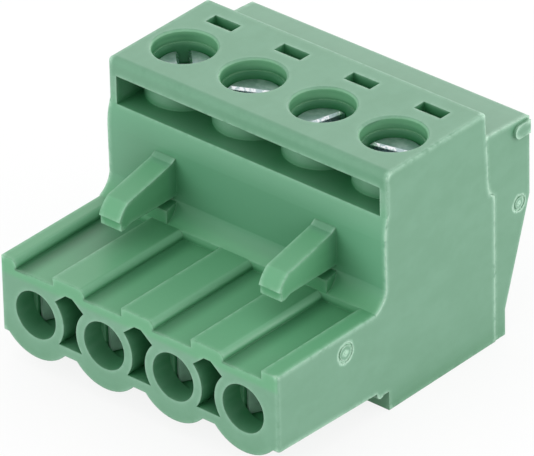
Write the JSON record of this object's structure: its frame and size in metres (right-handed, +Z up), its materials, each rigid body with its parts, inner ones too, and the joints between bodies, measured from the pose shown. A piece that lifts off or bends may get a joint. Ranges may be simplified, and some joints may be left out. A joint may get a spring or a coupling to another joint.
{
  "type": "pluggable terminal block",
  "caption": "Green pluggable screw terminal block with rising cage clamps, latch hooks, screwdriver holes on top and a snapped-on rear cover with wire funnels.",
  "frame": {"origin": "bottom centre of the whole block's box, on the flat underside", "axes": "+X along the row of poles to the right seen from the mating side, -Y out of the mating face, +Z up, out of the screwdriver holes"},
  "size_m": [0.0206, 0.0216, 0.0151],
  "materials": {
    "green_plastic": "satin moulded polyamide",
    "tinned_contact": "tin-plated copper alloy",
    "nickel_cage": "nickel-plated brass",
    "plated_screw": "bright zinc-plated steel"
  },
  "bodies": {
    "block": {"housing": "green_plastic", "rear_cover": "green_plastic", "socket_contact_1": "tinned_contact", "socket_contact_2": "tinned_contact", "socket_contact_3": "tinned_contact", "socket_contact_4": "tinned_contact"},
    "screw_1": {"clamp_screw_1": "plated_screw"},
    "cage_1": {"clamp_cage_1": "nickel_cage"},
    "screw_2": {"clamp_screw_2": "plated_screw"},
    "cage_2": {"clamp_cage_2": "nickel_cage"},
    "screw_3": {"clamp_screw_3": "plated_screw"},
    "cage_3": {"clamp_cage_3": "nickel_cage"},
    "screw_4": {"clamp_screw_4": "plated_screw"},
    "cage_4": {"clamp_cage_4": "nickel_cage"}
  },
  "joints": [
    {"name": "cage_lift_1", "type": "slide", "parent": "block", "child": "cage_1", "axis": [0, 0, 1], "range_m": [0, 0.00283]},
    {"name": "screw_turn_1", "type": "hinge", "parent": "block", "child": "screw_1", "pos_m": [-0.00762, 0.00205, 0.01215], "axis": [0, 0, -1], "range_deg": [0, 2270]},
    {"name": "cage_lift_2", "type": "slide", "parent": "block", "child": "cage_2", "axis": [0, 0, 1], "range_m": [0, 0.00283]},
    {"name": "screw_turn_2", "type": "hinge", "parent": "block", "child": "screw_2", "pos_m": [-0.00254, 0.00205, 0.01215], "axis": [0, 0, -1], "range_deg": [0, 2270]},
    {"name": "cage_lift_3", "type": "slide", "parent": "block", "child": "cage_3", "axis": [0, 0, 1], "range_m": [0, 0.00283]},
    {"name": "screw_turn_3", "type": "hinge", "parent": "block", "child": "screw_3", "pos_m": [0.00254, 0.00205, 0.01215], "axis": [0, 0, -1], "range_deg": [0, 2270]},
    {"name": "cage_lift_4", "type": "slide", "parent": "block", "child": "cage_4", "axis": [0, 0, 1], "range_m": [0, 0.00283]},
    {"name": "screw_turn_4", "type": "hinge", "parent": "block", "child": "screw_4", "pos_m": [0.00762, 0.00205, 0.01215], "axis": [0, 0, -1], "range_deg": [0, 2270]}
  ],
  "couplings": [
    {"joint": "screw_turn_1", "follows": "cage_lift_1", "rad_per_m": 13963},
    {"joint": "screw_turn_2", "follows": "cage_lift_2", "rad_per_m": 13963},
    {"joint": "screw_turn_3", "follows": "cage_lift_3", "rad_per_m": 13963},
    {"joint": "screw_turn_4", "follows": "cage_lift_4", "rad_per_m": 13963}
  ]
}
